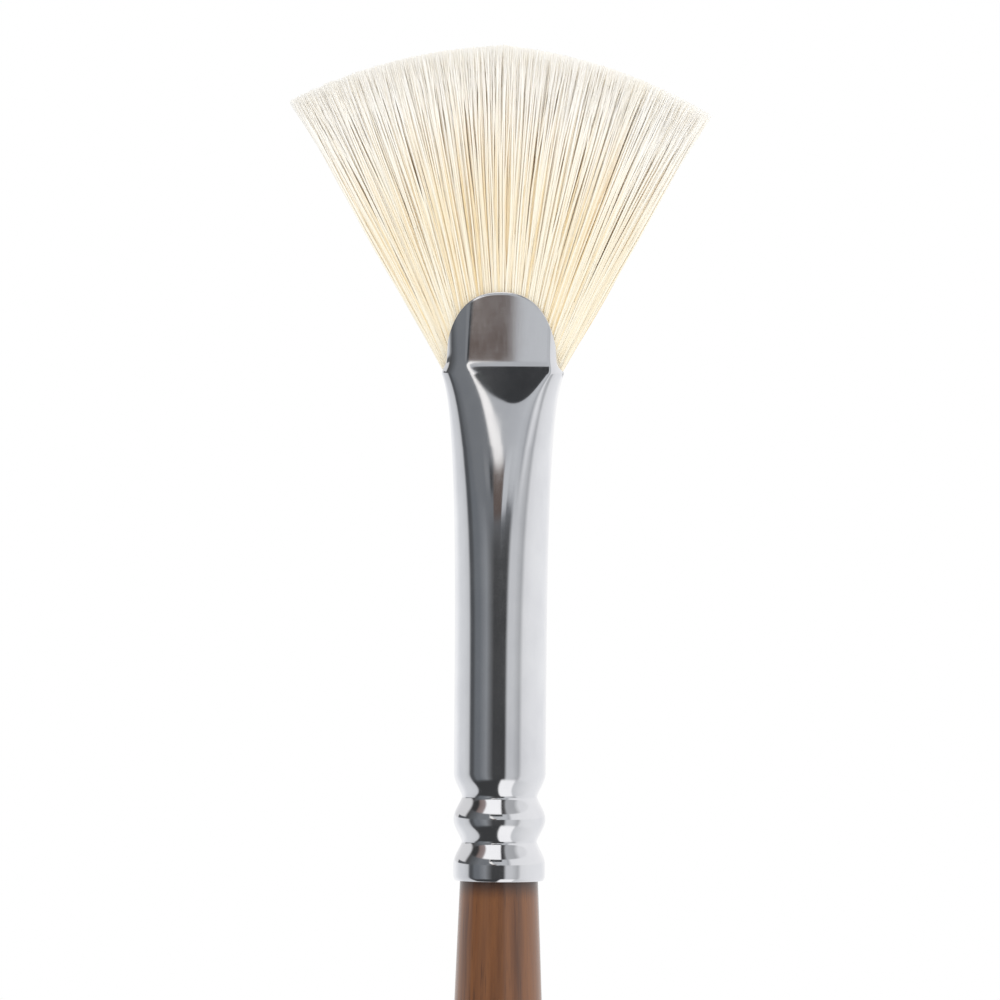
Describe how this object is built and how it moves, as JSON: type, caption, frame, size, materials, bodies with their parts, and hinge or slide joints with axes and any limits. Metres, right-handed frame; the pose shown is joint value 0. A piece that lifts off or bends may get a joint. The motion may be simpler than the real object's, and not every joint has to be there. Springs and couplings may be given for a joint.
{
  "type": "fan brush",
  "caption": "Fan-shaped hog bristle artist's brush with a plated, pressed ferrule and a long varnished wooden handle; its bristle locks flex to the front and back.",
  "frame": {"origin": "middle of the flat on the handle's butt end", "axes": "+Z along the brush from the butt end to the tips of the bristles, X across the fan, -Y the front of the fan"},
  "size_m": [0.0344, 0.0088, 0.305],
  "materials": {
    "varnished_wood": "walnut-brown stained hardwood under clear gloss varnish",
    "plated_brass": "polished nickel plate on seamless brass",
    "wood_glue": "dried cream wood glue",
    "bristle_cement": "set amber bristle cement",
    "hog_bristle": "natural white hog bristle, cream at the root and nearly white at the flagged tips"
  },
  "bodies": {
    "brush_body": {"handle": "varnished_wood", "ferrule": "plated_brass", "handle_glue": "wood_glue", "bristle_cement": "bristle_cement", "bristle_roots": "hog_bristle"},
    "lock_01": {"bristle_lock_01": "hog_bristle"},
    "lock_02": {"bristle_lock_02": "hog_bristle"},
    "lock_03": {"bristle_lock_03": "hog_bristle"},
    "lock_04": {"bristle_lock_04": "hog_bristle"},
    "lock_05": {"bristle_lock_05": "hog_bristle"},
    "lock_06": {"bristle_lock_06": "hog_bristle"},
    "lock_07": {"bristle_lock_07": "hog_bristle"},
    "lock_08": {"bristle_lock_08": "hog_bristle"},
    "lock_09": {"bristle_lock_09": "hog_bristle"},
    "lock_10": {"bristle_lock_10": "hog_bristle"},
    "lock_11": {"bristle_lock_11": "hog_bristle"},
    "lock_12": {"bristle_lock_12": "hog_bristle"},
    "lock_13": {"bristle_lock_13": "hog_bristle"},
    "lock_14": {"bristle_lock_14": "hog_bristle"},
    "lock_15": {"bristle_lock_15": "hog_bristle"}
  },
  "joints": [
    {"name": "lock_01_bend", "type": "hinge", "parent": "brush_body", "child": "lock_01", "pos_m": [-0.00538, 0, 0.2795], "axis": [0.892, 0, 0.4521], "range_deg": [-35, 35], "stiffness_Nm_per_rad": 0.0012},
    {"name": "lock_02_bend", "type": "hinge", "parent": "brush_body", "child": "lock_02", "pos_m": [-0.00518, 0, 0.28106], "axis": [0.9202, 0, 0.3914], "range_deg": [-35, 35], "stiffness_Nm_per_rad": 0.0012},
    {"name": "lock_03_bend", "type": "hinge", "parent": "brush_body", "child": "lock_03", "pos_m": [-0.00474, 0, 0.28249], "axis": [0.9444, 0, 0.3289], "range_deg": [-35, 35], "stiffness_Nm_per_rad": 0.0012},
    {"name": "lock_04_bend", "type": "hinge", "parent": "brush_body", "child": "lock_04", "pos_m": [-0.00406, 0, 0.28367], "axis": [0.9643, 0, 0.2649], "range_deg": [-35, 35], "stiffness_Nm_per_rad": 0.0012},
    {"name": "lock_05_bend", "type": "hinge", "parent": "brush_body", "child": "lock_05", "pos_m": [-0.00319, 0, 0.28455], "axis": [0.9799, 0, 0.1997], "range_deg": [-35, 35], "stiffness_Nm_per_rad": 0.0012},
    {"name": "lock_06_bend", "type": "hinge", "parent": "brush_body", "child": "lock_06", "pos_m": [-0.00219, 0, 0.2851], "axis": [0.991, 0, 0.1336], "range_deg": [-35, 35], "stiffness_Nm_per_rad": 0.0012},
    {"name": "lock_07_bend", "type": "hinge", "parent": "brush_body", "child": "lock_07", "pos_m": [-0.00111, 0, 0.28535], "axis": [0.9978, 0, 0.067], "range_deg": [-35, 35], "stiffness_Nm_per_rad": 0.0012},
    {"name": "lock_08_bend", "type": "hinge", "parent": "brush_body", "child": "lock_08", "pos_m": [0, 0, 0.2854], "axis": [1, 0, 0], "range_deg": [-35, 35], "stiffness_Nm_per_rad": 0.0012},
    {"name": "lock_09_bend", "type": "hinge", "parent": "brush_body", "child": "lock_09", "pos_m": [0.00111, 0, 0.28535], "axis": [0.9978, 0, -0.067], "range_deg": [-35, 35], "stiffness_Nm_per_rad": 0.0012},
    {"name": "lock_10_bend", "type": "hinge", "parent": "brush_body", "child": "lock_10", "pos_m": [0.00219, 0, 0.2851], "axis": [0.991, 0, -0.1336], "range_deg": [-35, 35], "stiffness_Nm_per_rad": 0.0012},
    {"name": "lock_11_bend", "type": "hinge", "parent": "brush_body", "child": "lock_11", "pos_m": [0.00319, 0, 0.28455], "axis": [0.9799, 0, -0.1997], "range_deg": [-35, 35], "stiffness_Nm_per_rad": 0.0012},
    {"name": "lock_12_bend", "type": "hinge", "parent": "brush_body", "child": "lock_12", "pos_m": [0.00406, 0, 0.28367], "axis": [0.9643, 0, -0.2649], "range_deg": [-35, 35], "stiffness_Nm_per_rad": 0.0012},
    {"name": "lock_13_bend", "type": "hinge", "parent": "brush_body", "child": "lock_13", "pos_m": [0.00474, 0, 0.28249], "axis": [0.9444, 0, -0.3289], "range_deg": [-35, 35], "stiffness_Nm_per_rad": 0.0012},
    {"name": "lock_14_bend", "type": "hinge", "parent": "brush_body", "child": "lock_14", "pos_m": [0.00518, 0, 0.28106], "axis": [0.9202, 0, -0.3914], "range_deg": [-35, 35], "stiffness_Nm_per_rad": 0.0012},
    {"name": "lock_15_bend", "type": "hinge", "parent": "brush_body", "child": "lock_15", "pos_m": [0.00538, 0, 0.2795], "axis": [0.892, 0, -0.4521], "range_deg": [-35, 35], "stiffness_Nm_per_rad": 0.0012}
  ]
}
